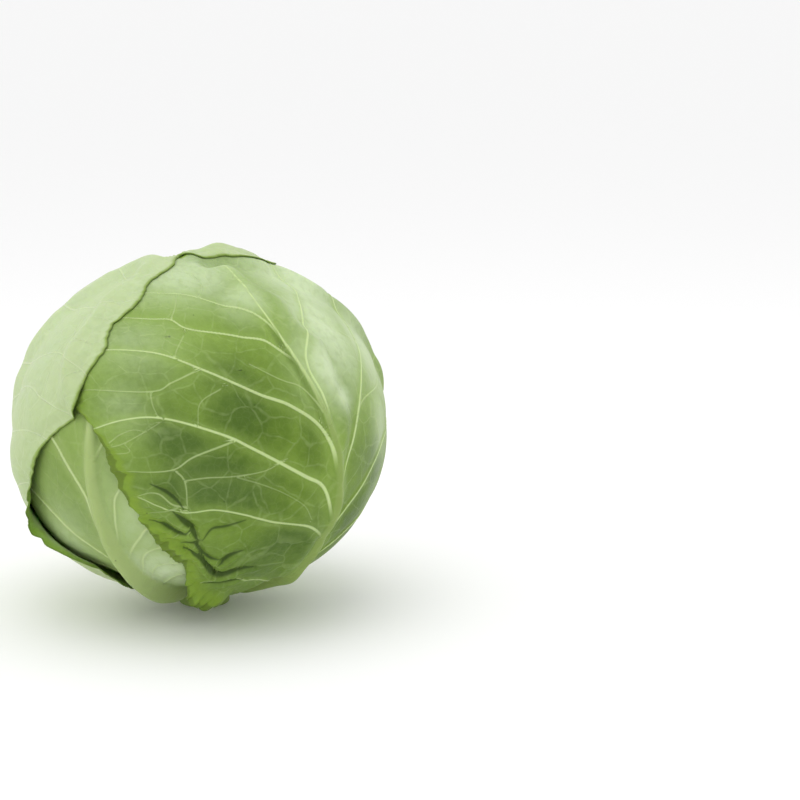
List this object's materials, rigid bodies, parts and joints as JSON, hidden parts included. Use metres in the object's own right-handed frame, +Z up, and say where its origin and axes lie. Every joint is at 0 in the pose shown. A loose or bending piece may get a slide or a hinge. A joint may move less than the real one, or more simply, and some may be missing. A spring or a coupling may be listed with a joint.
{
  "type": "cabbage head",
  "caption": "Round head of white cabbage with veined, overlapping wrapper leaves folded over a dense heart, standing on its cut stem.",
  "frame": {"origin": "middle of the stem's cut face, where the head rests on a surface", "axes": "+Z up through the stem and the heart; +X to the right and -Y towards the viewer as the head is usually seen"},
  "size_m": [0.1809, 0.1796, 0.1724],
  "materials": {
    "stem": "pale, dry cut face with a ring of vessels",
    "heart": "pale green waxy leaf",
    "wrapper_leaf_1": "green waxy leaf with pale raised veins and a light bloom",
    "wrapper_leaf_2": "green waxy leaf with pale raised veins and a light bloom",
    "wrapper_leaf_3": "green waxy leaf with pale raised veins and a light bloom",
    "wrapper_leaf_4": "green waxy leaf with pale raised veins and a light bloom",
    "wrapper_leaf_5": "green waxy leaf with pale raised veins and a light bloom"
  },
  "bodies": {
    "root": {"stem": "stem", "heart": "heart", "wrapper_leaf_1": "wrapper_leaf_1", "wrapper_leaf_2": "wrapper_leaf_2", "wrapper_leaf_3": "wrapper_leaf_3", "wrapper_leaf_4": "wrapper_leaf_4", "wrapper_leaf_5": "wrapper_leaf_5"}
  },
  "joints": []
}
